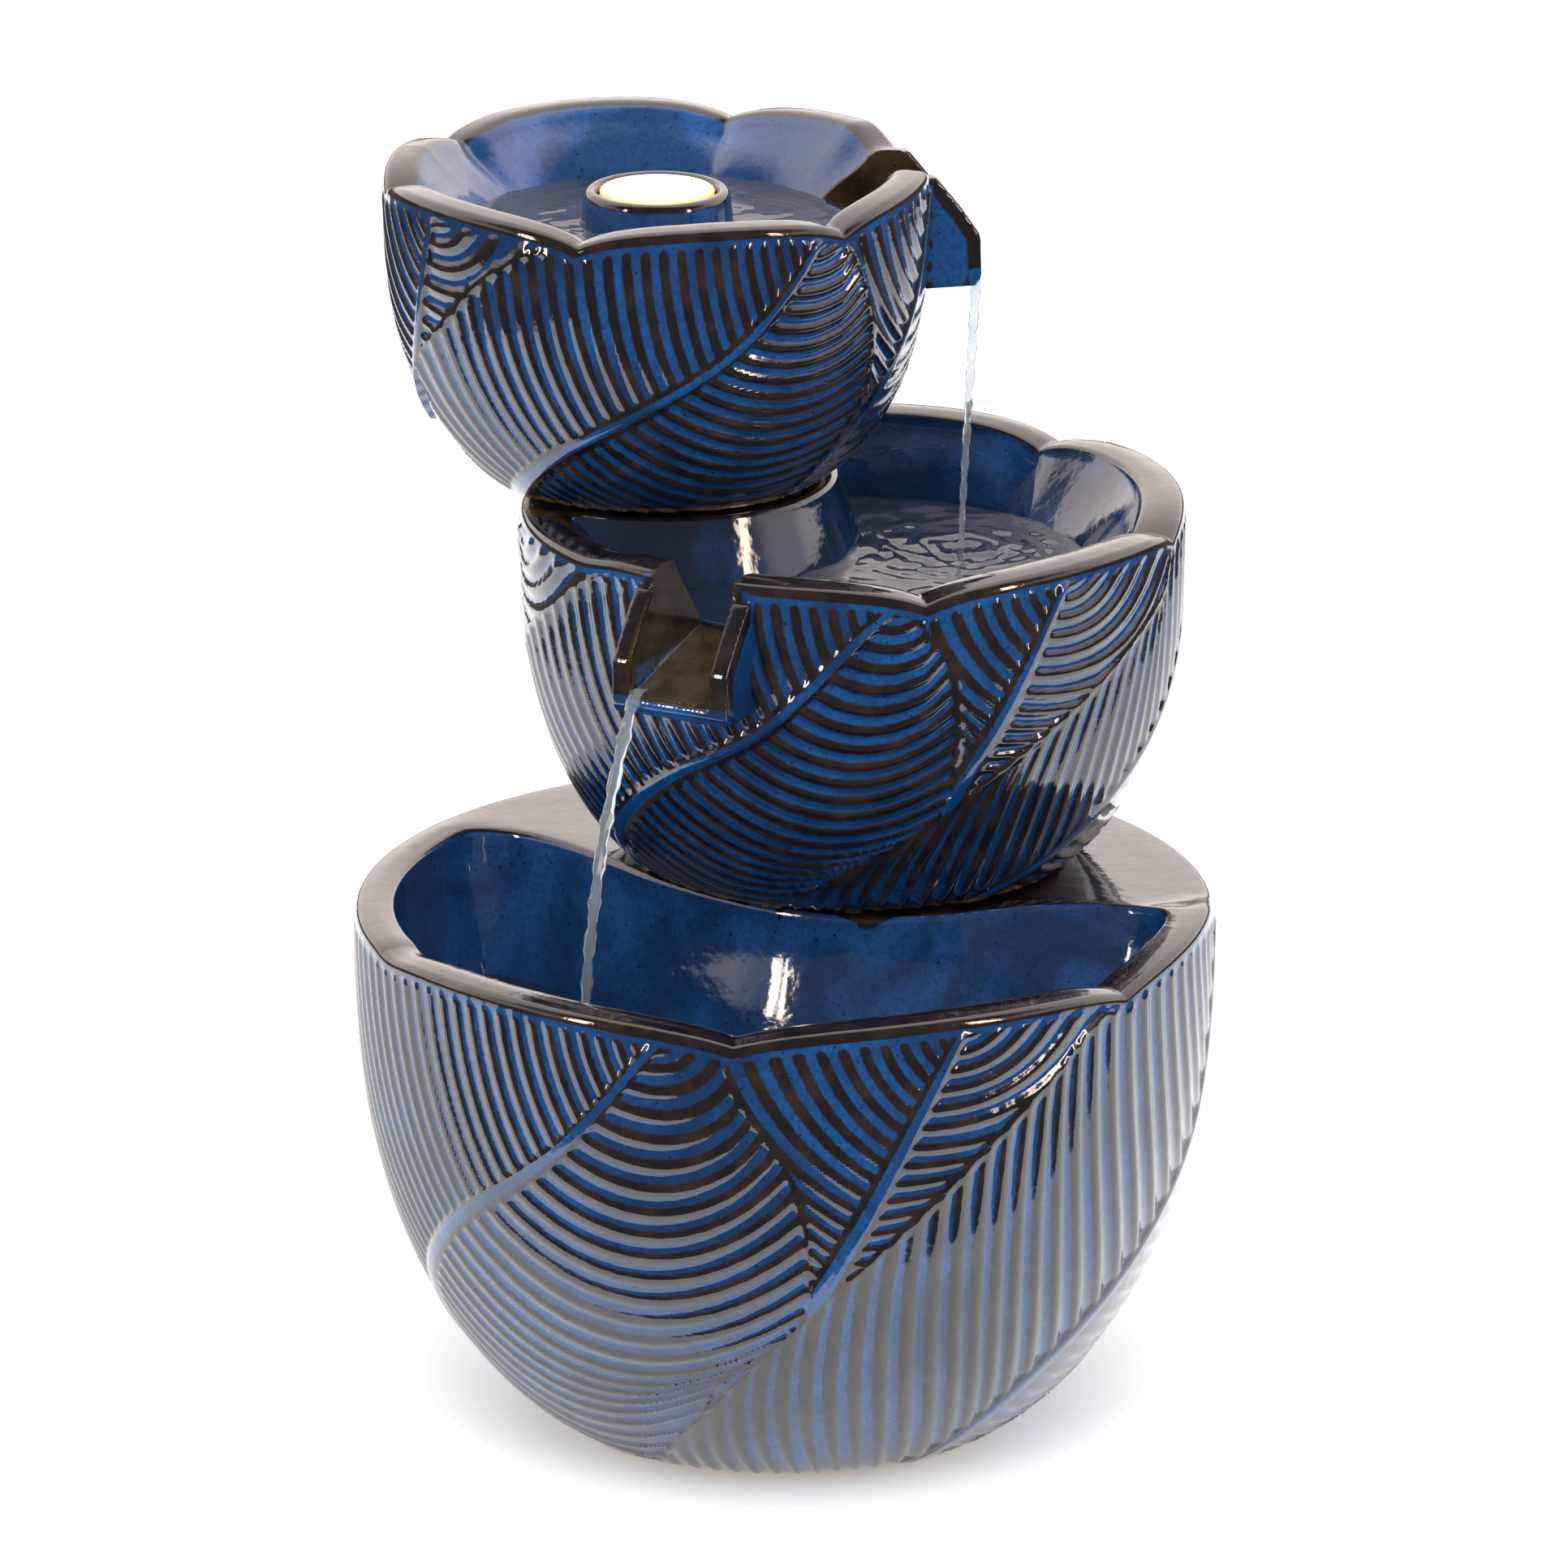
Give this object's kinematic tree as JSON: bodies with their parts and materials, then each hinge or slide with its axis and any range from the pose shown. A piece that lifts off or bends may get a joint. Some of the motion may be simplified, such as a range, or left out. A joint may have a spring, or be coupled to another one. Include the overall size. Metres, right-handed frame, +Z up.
{
  "type": "tabletop water fountain",
  "caption": "Glazed ceramic cascading tabletop fountain with stacked offset bowls, carved leaf relief, petal rims, trough spouts and a lit disc in the top bowl.",
  "frame": {"origin": "centre of the underside of the base's foot, on the surface it stands on", "axes": "+Z up, -Y towards the front where the crescent opening is, +X to the right seen from the front"},
  "size_m": [0.35, 0.394, 0.4994],
  "materials": {
    "glaze": "glossy cobalt blue reactive glaze breaking to brown-black on edges",
    "rubber": "matte",
    "foam": "matte foam",
    "black_plastic": "satin",
    "grey_plastic": "satin",
    "white_plastic": "gloss",
    "lens": "frosted and lit",
    "led": "lit",
    "board": "white solder mask",
    "hose": "clear vinyl",
    "steel": "brushed",
    "shaft_ceramic": "ground",
    "water": "clear"
  },
  "bodies": {
    "base": {"base_basin": "glaze", "foot_pad": "foam", "riser_hose": "hose", "hose_clamp": "steel", "hose_grommet": "rubber", "cord_gland": "rubber", "cord_gland_nut": "black_plastic", "pump_body": "black_plastic", "pump_chamber": "black_plastic", "pump_cover": "grey_plastic", "filter_foam": "foam", "impeller_shaft": "shaft_ceramic", "front_bush": "rubber", "rear_bush": "rubber", "suction_cup_1": "rubber", "suction_cup_2": "rubber", "suction_cup_3": "rubber", "suction_cup_4": "rubber", "pump_gland": "rubber"},
    "middle_tier": {"middle_bowl": "glaze", "middle_pad_1": "rubber", "middle_pad_2": "rubber", "middle_pad_3": "rubber", "middle_pad_4": "rubber"},
    "top_tier": {"top_bowl": "glaze", "top_pad_1": "rubber", "top_pad_2": "rubber", "top_pad_3": "rubber", "lamp_lens": "lens", "lens_seal": "rubber", "lamp_reflector": "white_plastic", "led_board": "board", "led_emitter": "led", "lamp_housing": "black_plastic", "lamp_gasket": "rubber", "lamp_washer": "rubber", "lamp_nut": "black_plastic", "lamp_gland": "rubber", "inlet_fitting": "black_plastic", "inlet_washer": "rubber", "inlet_nut": "black_plastic"},
    "rotor": {"impeller": "white_plastic"},
    "regulator": {"flow_knob": "grey_plastic"}
  },
  "joints": [
    {"name": "middle_lift", "type": "slide", "parent": "base", "child": "middle_tier", "axis": [0, 0, 1], "range_m": [0, 0.05]},
    {"name": "top_lift", "type": "slide", "parent": "middle_tier", "child": "top_tier", "axis": [0, 0, 1], "range_m": [0, 0.05]},
    {"name": "impeller_spin", "type": "hinge", "parent": "base", "child": "rotor", "pos_m": [-0.02, 0.07, 0.037], "axis": [1, 0, 0], "continuous": true},
    {"name": "flow_turn", "type": "hinge", "parent": "base", "child": "regulator", "pos_m": [-0.052, 0.07, 0.037], "axis": [1, 0, 0], "range_deg": [0, 90]}
  ]
}
